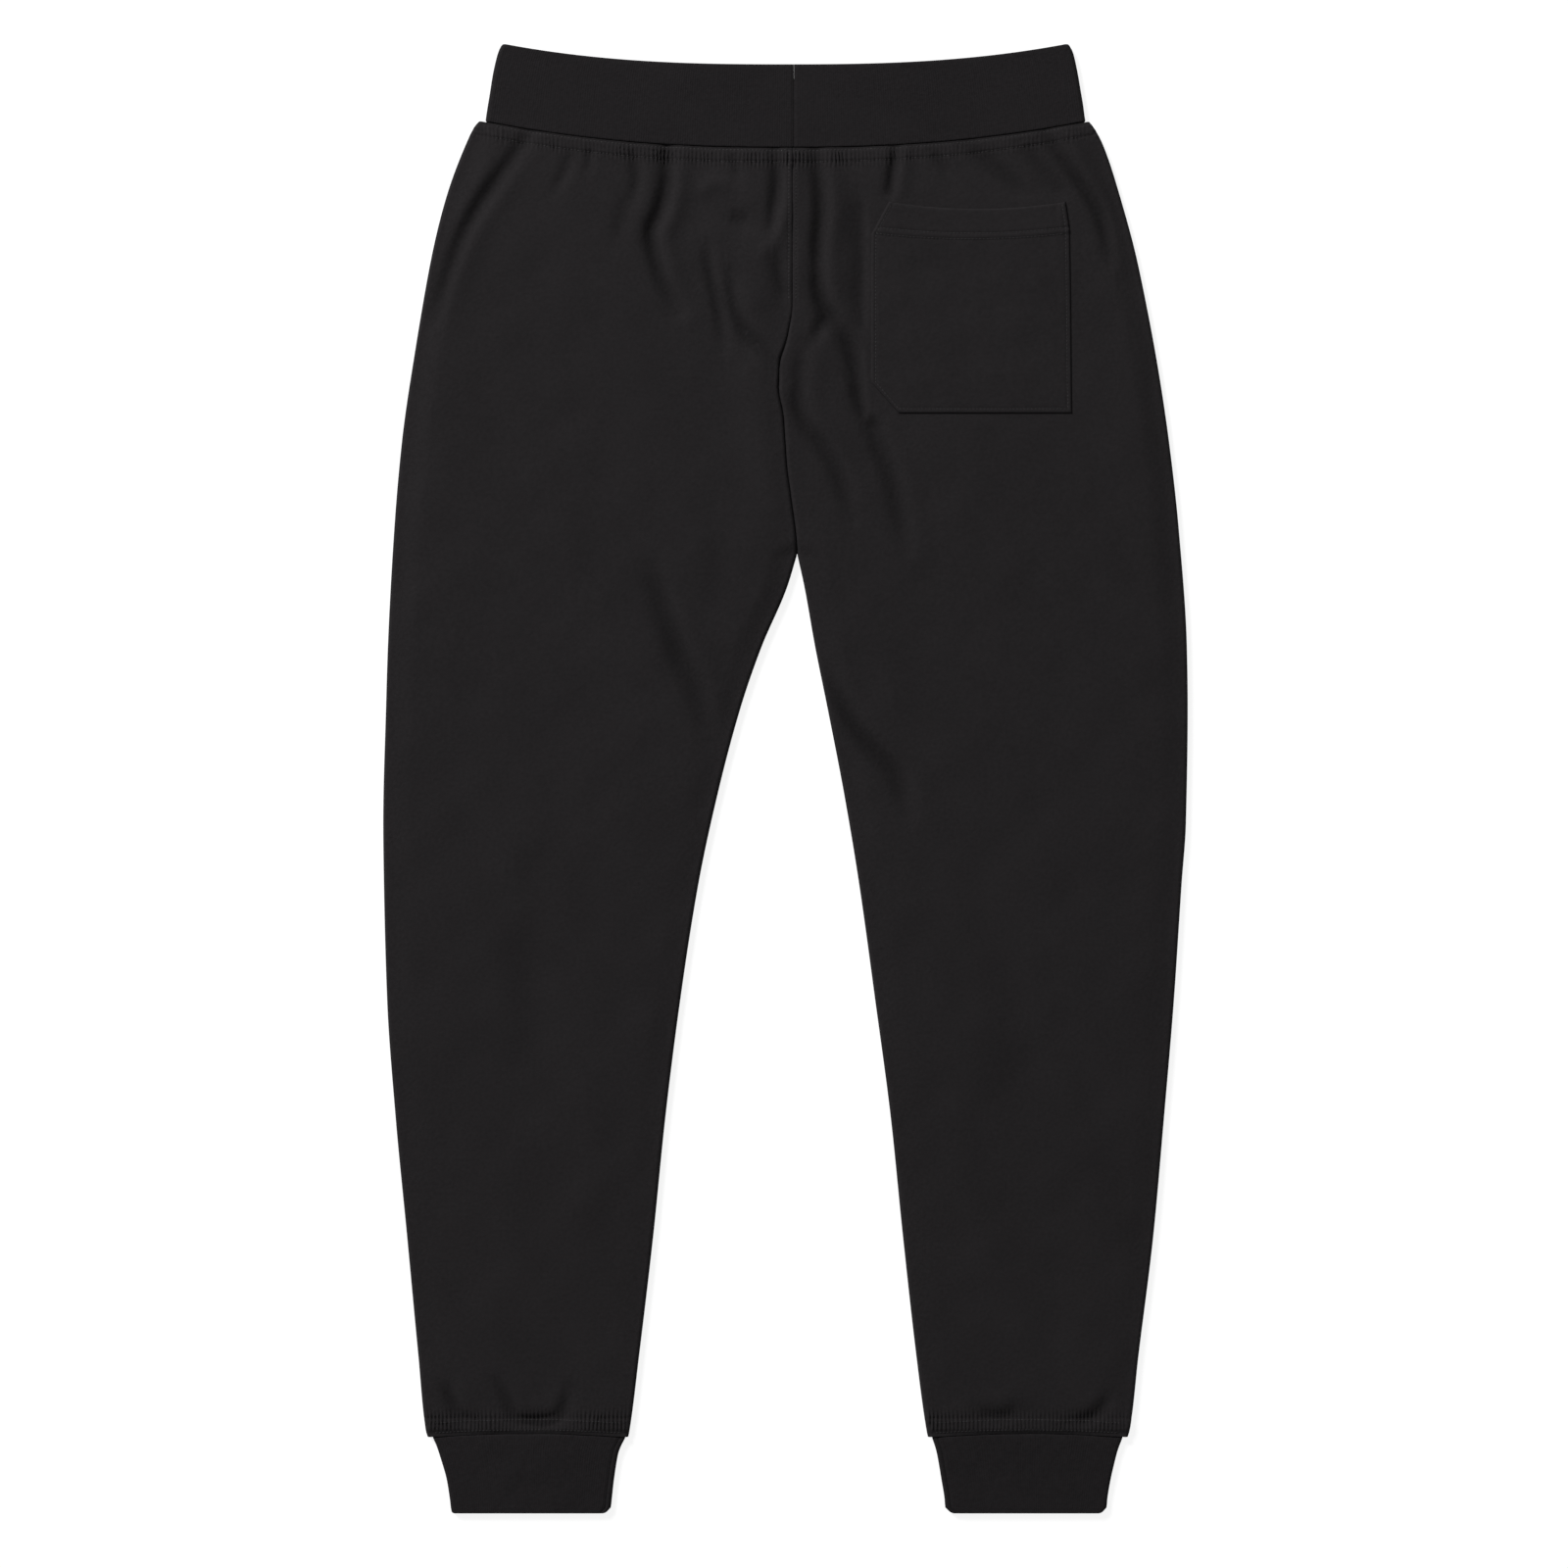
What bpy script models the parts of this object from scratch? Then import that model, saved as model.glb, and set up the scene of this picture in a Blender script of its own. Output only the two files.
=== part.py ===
"""Jogger sweatpants, laid flat on the floor with the back upwards.

The waist points along +Y, the wearer's left leg is on -X, and the floor is z = 0. The origin lies
under the middle of the garment. Sizes are in millimetres until a mesh is made from them, and a
height is measured along the garment, from the lower edge of the cuffs.
"""

import bpy
import numpy as np

MM = 0.001

# Driving sizes
LENGTH = 1040.0  # from the lower edge of the cuffs to the upper corners of the waistband
GAP = 0.3  # between neighbouring pieces
PANEL_WALL = 2.0  # brushed fleece
BAND_WALL = 3.0  # rib knit folded double round its elastic
CUFF_WALL = 2.4  # rib knit folded double
POCKET_WALL = 1.6
POCKET_HEM_WALL = 2.3  # the mouth is turned in and stitched down
EDGE_THICKNESS = 6.4  # both layers, where the cloth turns at a leg's edge
BAND_THICKNESS = 6.8
CUFF_THICKNESS = 5.8
LEAST_BACK_TOP = 2 * PANEL_WALL + 0.4  # the back's outer face, where it lies on the front

# Waist: the seam between band and legs, and the band's upper edge, are both shallow curves
WAIST_SEAM_LOW = 966.0
WAIST_SEAM_RISE = 18.7
WAIST_HALF = 213.0
BAND_TOP_LOW = 1025.4
BAND_TOP_RISE = LENGTH - BAND_TOP_LOW
BAND_TOP_HALF = 200.0
FRONT_DIP = 10.0  # the front of the waist is cut lower than the back
BAND_SEAM_X = 6.0  # the band's ends are joined at the centre back
SEAM_INSET = 1.0  # a ring's join stays this far from the bends at its sides

# Where the seam curve of the waist has faded out of the rows of points, below it
WAIST_BLEND = 120.0
CROTCH = 679.0
HEM = 56.5
HEM_DROOP = 2.5

# height, left leg's side edge, right leg's side edge
SIDE_EDGES = (
    (54, -252.0, 241.0),
    (60, -254.5, 243.5),
    (113, -260.0, 250.0),
    (197, -268.0, 260.5),
    (280, -276.0, 268.0),
    (363, -282.0, 275.0),
    (446, -284.3, 280.5),
    (488, -284.8, 283.5),
    (571, -282.8, 284.8),
    (613, -281.5, 284.2),
    (696, -277.0, 278.5),
    (759, -271.5, 271.5),
    (821, -262.5, 262.0),
    (883, -251.5, 249.5),
    (925, -241.0, 238.0),
    (967, -226.0, 224.5),
    (981, -219.5, 217.5),
    (988, -214.0, 212.5),
)

# height, left leg's inner edge, right leg's inner edge
INNER_EDGES = (
    (54, -112.0, 101.5),
    (60, -110.5, 100.0),
    (113, -103.5, 92.5),
    (197, -93.5, 83.0),
    (280, -85.0, 74.5),
    (363, -74.5, 63.5),
    (446, -61.5, 52.0),
    (509, -48.0, 41.5),
    (571, -31.5, 29.5),
    (613, -17.0, 21.0),
    (655, 1.0, 13.5),
    (CROTCH, 8.3, 8.3),
)

# height, place of the centre back seam, degrees by which the cloth turns down into it
CENTRE_BACK = (
    (655, 8.3, 90),
    (CROTCH, 8.3, 82),
    (722, 3.5, 70),
    (740, 1.0, 66),
    (776, -1.5, 70),
    (797, -5.0, 74),
    (812, -4.0, 74),
    (835, 2.0, 60),
    (855, 5.0, 45),
    (967, 5.0, 35),
)

# height, place of the centre front seam, degrees by which the cloth turns up into it
CENTRE_FRONT = (
    (655, 8.3, 90),
    (CROTCH, 8.3, 50),
    (705, 7.5, 0),
    (967, 5.0, 0),
)

# height, height of the back's outer face over the floor, away from the edges and the folds
BACK_TOP = (
    (54, 6.3),
    (110, 5.6),
    (300, 5.4),
    (450, 5.7),
    (560, 6.2),
    (CROTCH, 6.6),
    (800, 6.8),
    (930, 6.9),
    (968, 6.6),
)
EDGE_RISE = 30.0  # how far in from an edge the back reaches the height above

# name, half-width, rise of the fold (a furrow's is below 0), then its path as (x, height)
FOLDS = (
    ("left hip furrow", 9, -2.0, ((-186, 972), (-205, 942), (-220, 918), (-249, 846))),
    ("left hip ridge", 15, 1.8, ((-168, 972), (-186, 942), (-202, 905), (-226, 850))),
    ("main furrow", 9, -2.4, ((-82, 985), (-84, 940), (-95, 903), (-89, 876), (-74, 842))),
    ("main ridge", 13, 2.4, ((-62, 985), (-66, 940), (-76, 903), (-70, 870), (-56, 835))),
    ("small ridge", 11, 1.6, ((-108, 985), (-104, 940), (-122, 900), (-126, 868))),
    ("crotch furrow", 9, -2.2, ((-56, 905), (-46, 858), (-25, 834), (-4, 806))),
    ("crotch bulge", 17, 2.6, ((-40, 925), (-22, 884), (-14, 846), (-4, 838))),
    ("leg bulge", 17, 2.0, ((-52, 846), (-32, 806), (-18, 762), (-8, 705))),
    ("seam furrow", 9, -2.2, ((22, 985), (24, 918), (22, 880), (30, 846), (49, 810), (68, 755))),
    ("seam ridge", 11, 2.2, ((40, 985), (40, 918), (38, 880), (48, 852))),
    ("crotch fold", 12, 1.8, ((10, 832), (26, 800), (46, 762), (62, 706))),
    ("thigh furrow", 11, -1.4, ((50, 795), (67, 753), (79, 715), (84, 680))),
    ("right hip furrow", 8, -2.0, ((183, 972), (197, 954), (217, 929), (228, 885))),
    ("right hip ridge", 11, 1.6, ((200, 980), (220, 950), (236, 915), (244, 880))),
    ("left knee furrow", 11, -1.7, ((-92, 672), (-85, 639), (-69, 600), (-54, 545))),
    ("left knee ridge", 15, 1.4, ((-70, 668), (-62, 632), (-48, 596), (-42, 560))),
    ("right knee furrow", 11, -1.8, ((28, 590), (50, 555), (69, 529), (88, 497))),
    ("right knee ridge", 14, 1.6, ((46, 594), (68, 566), (88, 540), (104, 510))),
    ("left hem dent", 8, -1.3, ((-197, 86), (-190, 68), (-158, 68), (-153, 86))),
    ("right hem dent", 8, -1.3, ((140, 74), (158, 70), (176, 78))),
)

# height, left and right ends of a row of the back pocket
POCKET_ENDS = (
    (778, 80.0, 202.5),
    (800, 60.5, 202.2),
    (826, 60.5, 202.0),
    (853, 60.5, 201.8),
    (880, 60.5, 201.4),
    (905, 60.8, 201.0),
    (908, 62.5, 201.0),
    (927.5, 73.0, 198.0),
)
POCKET_HEM = 906.5  # the rows above it are hem
MOUTH_SAG = 5.0
POCKET_CALM = 14.0  # folds fade out this far from the pocket

# height, left cuff's side and inner edges, right cuff's inner and side edges
CUFF_EDGES = (
    (0, -236.2, -127.5, 117.5, 223.7),
    (4, -237.0, -123.7, 113.2, 227.3),
    (10, -237.7, -123.0, 112.6, 228.0),
    (26, -240.4, -121.1, 110.0, 230.7),
    (43, -245.3, -118.3, 107.2, 234.8),
    (HEM, -250.0, -113.0, 103.5, 239.0),
)

LEFT, RIGHT = -1, 1


def step(t):
    """A smooth step from 0 at t = 0 to 1 at t = 1."""
    t = np.clip(t, 0, 1)
    return t * t * (3 - 2 * t)


def smooth_curve(at, table, column):
    """The table's column at these heights, by cubics with no overshoot.

    Each knot's slope is the harmonic mean of the chords on its two sides, or 0 at a turning point.
    """
    knots, values = np.array(table, float)[:, (0, column)].T
    chord = np.diff(values) / np.diff(knots)
    same_way = chord[1:] * chord[:-1] > 0
    total = np.where(same_way, chord[1:] + chord[:-1], 1)
    middle = np.where(same_way, 2 * chord[1:] * chord[:-1] / total, 0)
    slope = np.concatenate([chord[:1], middle, chord[-1:]])
    at = np.clip(at, knots[0], knots[-1])
    k = np.clip(np.searchsorted(knots, at) - 1, 0, len(knots) - 2)
    span = knots[k + 1] - knots[k]
    t = (at - knots[k]) / span
    start = (2 * t**3 - 3 * t**2 + 1) * values[k] + (t**3 - 2 * t**2 + t) * span * slope[k]
    end = (3 * t**2 - 2 * t**3) * values[k + 1] + (t**3 - t**2) * span * slope[k + 1]
    return start + end


def waist_seam(x):
    """Height of the seam under the band on the back: a power curve that rises to the sides."""
    return WAIST_SEAM_LOW + WAIST_SEAM_RISE * np.abs(x / WAIST_HALF) ** 2.3


def front_dip(x):
    """How much lower the waist lies on the front: a parabola, nothing at the sides."""
    return FRONT_DIP * np.clip(1 - (x / BAND_TOP_HALF) ** 2, 0, 1)


def side_edge(side, height):
    return smooth_curve(height, SIDE_EDGES, 1 if side == LEFT else 2)


def inner_edge(side, height, centre_seam):
    """The centre seam, half a gap away, down to the crotch, and the inside leg below it."""
    leg = smooth_curve(height, INNER_EDGES, 1 if side == LEFT else 2)
    seam = smooth_curve(height, centre_seam, 1)
    return np.where(height > CROTCH - 1, seam, leg) + side * GAP / 2


def hem_droop(side, x):
    """How far the seam over a cuff droops towards the edges of the leg: a parabola."""
    ends = side_edge(side, HEM), inner_edge(side, HEM, CENTRE_BACK)
    from_middle = np.abs(x - np.mean(ends)) / np.ptp(ends) * 2
    return HEM_DROOP * np.clip(from_middle, 0, 1) ** 2


def fold_relief(x, height):
    """Sum of the folds: each a bell across its path, fading out towards both ends."""
    relief = np.zeros_like(x)
    for _, half_width, rise, path in FOLDS:
        path = np.array(path, float)
        legs = np.diff(path, axis=0)
        lengths = np.hypot(*legs.T)
        passed = np.concatenate([[0], np.cumsum(lengths)[:-1]])
        nearest = np.full_like(x, np.inf)
        along = np.zeros_like(x)
        for start, leg, length, before in zip(path, legs, lengths, passed):
            t = ((x - start[0]) * leg[0] + (height - start[1]) * leg[1]) / length**2
            t = np.clip(t, 0, 1)
            away = np.hypot(x - start[0] - t * leg[0], height - start[1] - t * leg[1])
            closer = away < nearest
            nearest = np.where(closer, away, nearest)
            along = np.where(closer, (before + t * length) / lengths.sum(), along)
        fading = np.sin(np.pi * np.clip(along, 0.02, 0.98)) ** 0.6
        relief += rise * fading * np.exp(-((nearest / half_width) ** 2))
    return relief


def pocket_nearness(x, height):
    """1 on the pocket, falling to 0 at POCKET_CALM outside its box."""
    heights, lefts, rights = np.array(POCKET_ENDS).T
    out_x = np.maximum(lefts.min() - x, x - rights.max())
    out_y = np.maximum(heights.min() - height, height - heights.max())
    return 1 - step(np.maximum(np.maximum(out_x, out_y), 0) / POCKET_CALM)


def back_top(x, height):
    """Height of the back's outer face over the floor, at a point away from the rolled edges.

    It runs from the edges' thickness to the BACK_TOP of that height, and the folds come on top.
    They fade out at the legs' edges and at the pocket, and the back never sinks into the front.
    """
    side = np.where(x > smooth_curve(height, CENTRE_BACK, 1), RIGHT, LEFT)
    inside = np.full_like(x, np.inf)
    for leg in (LEFT, RIGHT):
        on_leg = side == leg
        from_side = np.abs(x - side_edge(leg, height))
        from_inner = np.abs(x - inner_edge(leg, height, CENTRE_BACK))
        from_inner = from_inner + 2 * np.clip(height - CROTCH, 0, EDGE_RISE)
        inside = np.where(on_leg, np.minimum(from_side, from_inner), inside)
    inside = step((inside - EDGE_THICKNESS / 2) / EDGE_RISE)
    plain = EDGE_THICKNESS + (smooth_curve(height, BACK_TOP, 1) - EDGE_THICKNESS) * inside
    calm = (1 - pocket_nearness(x, height)) * inside**0.5
    return np.maximum(plain + calm * fold_relief(x, height), LEAST_BACK_TOP)


def fleece(name, grey):
    """The near-black cloth: rough, with no shine."""
    made = bpy.data.materials.new(name)
    made.use_nodes = True
    shader = made.node_tree.nodes["Principled BSDF"]
    shader.inputs["Base Color"].default_value = (grey, grey * 0.95, grey, 1)
    shader.inputs["Roughness"].default_value = 0.95
    shader.inputs["Metallic"].default_value = 0.0
    return made


def add_wall(name, outer, inner, grey):
    """A closed wall between two grids of points of the same size, with a rim along all four sides."""
    rows, columns = outer.shape[:2]
    index = np.arange(rows * columns).reshape(rows, columns)
    points = np.concatenate([outer.reshape(-1, 3), inner.reshape(-1, 3)])

    def quads(grid):
        corners = (grid[:-1, :-1], grid[1:, :-1], grid[1:, 1:], grid[:-1, 1:])
        return np.stack(corners, axis=-1).reshape(-1, 4)

    round_edge = np.concatenate([index[0], index[1:, -1], index[-1, -2::-1], index[-2:0:-1, 0]])
    onward = np.roll(round_edge, -1)
    back = rows * columns
    rim = np.stack([round_edge, onward, onward + back, round_edge + back], axis=-1)
    faces = np.concatenate([quads(index), quads(index + back)[:, ::-1], rim])

    # Turned round as a whole if the volume that the faces enclose comes out negative
    a, b, c, d = (points[faces[:, k]] for k in range(4))
    volume = (np.cross(a, b) * c).sum() + (np.cross(a, c) * d).sum()
    if volume < 0:
        faces = faces[:, ::-1]

    placed = (points - (0, LENGTH / 2, 0)) * MM
    mesh = bpy.data.meshes.new(name)
    mesh.from_pydata(placed.tolist(), [], faces.tolist())
    mesh.shade_smooth()
    mesh.set_sharp_from_angle(angle=np.radians(50))
    mesh.materials.append(fleece(name, grey))
    made = bpy.data.objects.new(name, mesh)
    bpy.context.scene.collection.objects.link(made)


def panel_points(side, is_back, depth):
    """One leg panel's face, as (rows, columns, 3), at this depth into its wall.

    Rows run across the leg, and follow the waist's curve at the top and the hem's at the foot.
    Columns run down it: an arc that turns over the side edge, the flat of the leg, then an arc
    that turns into the centre seam or over the inside leg. A front is the same with its flat on
    the floor, turned up at its edges, and with fewer rows and columns.
    """
    hip_rows, leg_rows, flat_columns, side_turns, inner_turns = (
        (18, 12, 15, 4, 3) if is_back else (5, 7, 9, 3, 3)
    )
    centre_seam = CENTRE_BACK if is_back else CENTRE_FRONT
    hips = np.linspace(WAIST_SEAM_LOW - GAP / 2, CROTCH, hip_rows + 1)
    down = np.linspace(0, 1, leg_rows + 1)[1:] ** 1.3
    level = np.concatenate([hips, CROTCH + (HEM + GAP / 2 - CROTCH) * down])

    def row_height(x, level):
        from_waist = step(1 - (WAIST_SEAM_LOW - level) / WAIST_BLEND)
        lift = waist_seam(x) - WAIST_SEAM_LOW - (0 if is_back else front_dip(x))
        return level + from_waist * lift

    radius = (EDGE_THICKNESS - GAP) / 2
    outer_end = side_edge(side, row_height(side * WAIST_HALF, level)) - side * radius
    turn = np.radians(smooth_curve(level, centre_seam, 2))
    inner_end = inner_edge(side, level, centre_seam) + side * radius * np.sin(turn)

    across = 1 - (1 - np.linspace(0, 1, flat_columns + 1)) ** 1.35
    across = np.concatenate([np.zeros(side_turns), across, np.ones(inner_turns)])
    flat_x = outer_end[:, None] + (inner_end - outer_end)[:, None] * across
    angle = np.zeros_like(flat_x)
    angle[:, : side_turns + 1] = np.linspace(np.pi / 2, 0, side_turns + 1)
    angle[:, -inner_turns - 1 :] = -np.linspace(0, 1, inner_turns + 1) * turn[:, None]

    x = flat_x + side * (radius - depth) * np.sin(angle)
    at_hem = np.clip((level - CROTCH) / (HEM - CROTCH), 0, 1)[:, None] ** 12
    y = row_height(x, level[:, None]) - at_hem * hem_droop(side, x)
    curl = (radius - depth) * np.cos(angle)
    z = back_top(flat_x, y) - radius + curl if is_back else radius - curl
    return np.stack([x, y, z], axis=-1)


def ring_points(heights, ends, thickness, depth, seam, flats, turns):
    """A flattened ring's face, as (rows, columns, 3), at this depth into its wall.

    Each row is a flat oval between its two ends. It starts at the seam's x on the back, goes
    round the left end, along the floor, round the right end and back to the seam, and stops a
    gap short of its start. heights(row, x, under) gives a row's points their heights, where
    under is 0 on the back and 1 on the floor.
    """
    radius = thickness / 2
    rows = []
    for row, (left, right) in enumerate(ends):
        left, right = left + radius, right - radius
        start = np.clip(seam, left + SEAM_INSET, right - SEAM_INSET)
        left_turn = np.linspace(0, np.pi, turns + 1)
        to_left = max(1, round(flats * (start - left) / (right - left)))
        to_right = max(1, flats - to_left)
        x = [np.linspace(start - GAP / 2, left, to_left + 1)[:-1], np.full(turns + 1, left)]
        angle = [np.zeros(to_left), left_turn]
        x += [np.linspace(left, right, flats + 1)[1:-1], np.full(turns + 1, right)]
        angle += [np.full(flats - 1, np.pi), np.pi + left_turn]
        x += [np.linspace(right, start + GAP / 2, to_right + 1)[1:]]
        angle += [np.full(to_right, 2 * np.pi)]
        x, angle = np.concatenate(x), np.concatenate(angle)
        x = x - (radius - depth) * np.sin(angle)
        y = heights(row, x, (1 - np.cos(angle)) / 2)
        z = radius + (radius - depth) * np.cos(angle)
        rows.append(np.stack([x, y, z], axis=-1))
    return np.stack(rows)


def waistband_points(depth):
    """From the waist seam to the upper edge, narrowing upwards, with its corners rounded."""
    # share of the band's height, half-width
    widths = ((0, 212.5), (0.3, 210.0), (0.65, 206.8), (0.9, 203.4), (1, 200.5))

    def heights(row, x, under):
        foot = waist_seam(x) + GAP / 2 - under * front_dip(x)
        top = BAND_TOP_LOW + BAND_TOP_RISE * np.clip(np.abs(x / BAND_TOP_HALF), 0, 1) ** 2.6
        top = top - under * front_dip(x)
        return foot + (top - foot) * widths[row][0]

    ends = [(-half, half) for _, half in widths]
    return ring_points(heights, ends, BAND_THICKNESS, depth, BAND_SEAM_X, 16, 4)


def cuff_points(side, depth):
    """From the hem down to the open end, narrowing downwards, with its join at the inside leg."""
    table = np.array(CUFF_EDGES)
    ends = table[:, (1, 2) if side == LEFT else (3, 4)]
    inside_leg = np.inf if side == LEFT else -np.inf

    def heights(row, x, under):
        height = table[row, 0]
        return height - (height / HEM) ** 4 * (hem_droop(side, x) + GAP / 2)

    return ring_points(heights, ends, CUFF_THICKNESS, depth, inside_leg, 5, 4)


def pocket_points(wall):
    """The patch pocket: the panel's own surface within its outline, moved out by a gap and a wall.

    wall is 0 for the face on the panel and 1 for the outer face. The rows sag towards the mouth.
    """
    heights, lefts, rights = (column[:, None] for column in np.array(POCKET_ENDS).T)
    across = np.linspace(0, 1, 9)
    x = lefts + (rights - lefts) * across
    upward = (heights - heights.min()) / np.ptp(heights)
    y = heights - upward * MOUTH_SAG * 4 * across * (1 - across)
    thickness = np.where(heights > POCKET_HEM, POCKET_HEM_WALL, POCKET_WALL)
    z = back_top(x, y) + GAP + wall * thickness
    return np.stack([x, y, z], axis=-1)


for old in list(bpy.data.objects):
    bpy.data.objects.remove(old)

for side, hand in ((LEFT, "left"), (RIGHT, "right")):
    for is_back, name in ((True, "back_panel"), (False, "front_panel")):
        faces = [panel_points(side, is_back, depth) for depth in (0, PANEL_WALL)]
        add_wall(f"{name}_{hand}", *faces, grey=0.016)
    add_wall(f"cuff_{hand}", *(cuff_points(side, depth) for depth in (0, CUFF_WALL)), grey=0.0125)
add_wall("waistband", *(waistband_points(depth) for depth in (0, BAND_WALL)), grey=0.014)
add_wall("back_pocket", pocket_points(1), pocket_points(0), grey=0.016)
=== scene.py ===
"""Jogger sweatpants in near-black fleece, laid flat on a pale floor with the back upwards.

The waist points along +Y and the wearer's left leg is on -X. Tables and formulas are in
millimetres, with a height measured from the lower edge of the cuffs, and a mesh is in metres.
"""

import bpy
import numpy as np
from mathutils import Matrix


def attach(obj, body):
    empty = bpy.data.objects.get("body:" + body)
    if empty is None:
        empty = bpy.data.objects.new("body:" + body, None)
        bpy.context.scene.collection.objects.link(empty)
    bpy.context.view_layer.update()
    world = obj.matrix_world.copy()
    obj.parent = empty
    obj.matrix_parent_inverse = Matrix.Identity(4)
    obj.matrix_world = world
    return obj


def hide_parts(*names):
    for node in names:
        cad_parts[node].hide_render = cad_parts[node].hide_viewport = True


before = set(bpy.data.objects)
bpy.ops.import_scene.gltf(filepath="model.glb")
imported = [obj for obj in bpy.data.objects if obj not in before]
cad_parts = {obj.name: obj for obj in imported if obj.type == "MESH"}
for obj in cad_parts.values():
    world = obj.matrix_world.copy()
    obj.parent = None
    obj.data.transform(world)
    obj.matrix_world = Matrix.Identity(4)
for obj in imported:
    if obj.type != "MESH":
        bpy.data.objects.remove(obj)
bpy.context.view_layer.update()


# ---- Camera, lights and floor
# The garment lies on a plain white surface that glows a little, and is seen from straight above.
# A large soft lamp stands far off at the upper left, and the sky fills in the shadows.
camera_data = bpy.data.cameras.new("camera")
camera_data.lens = 85
camera_data.sensor_width = 36
camera = bpy.data.objects.new("camera", camera_data)
camera.location = (-0.00104, -0.0038, 2.6245)
bpy.context.scene.collection.objects.link(camera)
bpy.context.scene.camera = camera
bpy.context.scene.view_settings.view_transform = "Standard"

SKY_STRENGTH = 0.30
world = bpy.data.worlds.new("sky")
world.use_nodes = True
world.node_tree.nodes["Background"].inputs["Color"].default_value = (1, 1, 1, 1)
world.node_tree.nodes["Background"].inputs["Strength"].default_value = SKY_STRENGTH
bpy.context.scene.world = world

LAMP_PLACE = np.array([-3.7, 4.3, 3.9])
LAMP_SIZE = 2.4
LAMP_POWER = 800
lamp_data = bpy.data.lights.new("key lamp", "AREA")
lamp_data.shape = "DISK"
lamp_data.size = LAMP_SIZE
lamp_data.energy = LAMP_POWER
lamp = bpy.data.objects.new("key lamp", lamp_data)
lamp.location = LAMP_PLACE
toward = -LAMP_PLACE / np.linalg.norm(LAMP_PLACE)
lamp.rotation_euler = (np.arccos(-toward[2]), 0, np.arctan2(-toward[0], toward[1]))
bpy.context.scene.collection.objects.link(lamp)

FLOOR_HALF = 4.0
FLOOR_GLOW = 0.86
FLOOR_GREY = 0.17
floor_mesh = bpy.data.meshes.new("floor")
corners = [(-1, -1, 0), (1, -1, 0), (1, 1, 0), (-1, 1, 0)]
corners = [(x * FLOOR_HALF, y * FLOOR_HALF, z) for x, y, z in corners]
floor_mesh.from_pydata(corners, [], [(0, 1, 2, 3)])
floor = bpy.data.objects.new("floor", floor_mesh)
bpy.context.scene.collection.objects.link(floor)
floor_finish = bpy.data.materials.new("white light table")
floor_finish.use_nodes = True
shader = floor_finish.node_tree.nodes["Principled BSDF"]
shader.inputs["Base Color"].default_value = (FLOOR_GREY, FLOOR_GREY, FLOOR_GREY, 1)
shader.inputs["Roughness"].default_value = 1.0
shader.inputs["Specular IOR Level"].default_value = 0.0
shader.inputs["Emission Color"].default_value = (1, 1, 1, 1)
shader.inputs["Emission Strength"].default_value = FLOOR_GLOW
floor_mesh.materials.append(floor_finish)


# ---- Back leg panels
# Each leg has one back panel of brushed sweatshirt fleece, cut from the waist to the cuff.
# Its side edge turns over to the front, and its inner edge meets the other leg in the centre
# back seam down to the crotch. It lies on the front in soft folds that fan out from the seat.
MM = 0.001
LENGTH = 1040.0
GAP = 0.3
SEAM_GAP = 0.06  # where two pieces are sewn edge to edge
PANEL_WALL = 2.0
EDGE_THICKNESS = 6.4
LEAST_BACK_TOP = 2 * PANEL_WALL + 0.4
WAIST_SEAM_LOW = 966.0
WAIST_SEAM_RISE = 18.7
WAIST_SEAM_BEND = 2.3  # exponent of the waist seam's curve
WAIST_HALF = 213.0
WAIST_BLEND = 120.0
CROTCH = 679.0
HEM = 56.5
HEM_DROOP = 2.5
HEM_FADE = 12  # exponent by which the droop fades out above the hem
EDGE_RISE = 18.0
BAND_TOP_HALF = 200.0
FRONT_DIP = 10.0
LEFT, RIGHT = -1, 1

# height, left leg's side edge, right leg's side edge
SIDE_EDGES = (
    (54, -252.0, 241.0),
    (60, -254.5, 243.5),
    (113, -260.0, 250.0),
    (197, -268.0, 260.5),
    (280, -276.0, 268.0),
    (363, -282.0, 275.0),
    (446, -284.3, 280.5),
    (488, -284.8, 283.5),
    (571, -282.8, 284.8),
    (613, -281.5, 284.2),
    (696, -277.0, 278.5),
    (759, -271.5, 271.5),
    (821, -262.5, 262.0),
    (883, -251.5, 249.5),
    (925, -241.0, 238.0),
    (967, -226.0, 224.5),
    (981, -219.5, 217.5),
    (988, -214.0, 212.5),
)

# height, left leg's inner edge, right leg's inner edge
INNER_EDGES = (
    (54, -112.0, 101.5),
    (60, -110.5, 100.0),
    (113, -103.5, 92.5),
    (197, -93.5, 83.0),
    (280, -85.0, 74.5),
    (363, -74.5, 63.5),
    (446, -61.5, 52.0),
    (509, -48.0, 41.5),
    (571, -31.5, 29.5),
    (613, -17.0, 21.0),
    (655, 1.0, 13.5),
    (CROTCH, 8.3, 8.3),
)

# height, place of the centre back seam, degrees by which the cloth turns down into it
CENTRE_BACK = (
    (655, 8.3, 90),
    (CROTCH, 8.3, 82),
    (722, 3.5, 70),
    (740, 1.0, 66),
    (776, -1.5, 70),
    (797, -5.0, 74),
    (812, -4.0, 74),
    (835, 2.0, 60),
    (855, 5.0, 45),
    (967, 5.0, 35),
)

# height, height of the back's outer face over the floor, away from the edges and the folds
BACK_TOP = (
    (54, 6.3),
    (110, 6.9),
    (300, 7.2),
    (450, 7.4),
    (560, 7.8),
    (CROTCH, 8.4),
    (800, 9.0),
    (930, 9.0),
    (968, 8.2),
)

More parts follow.
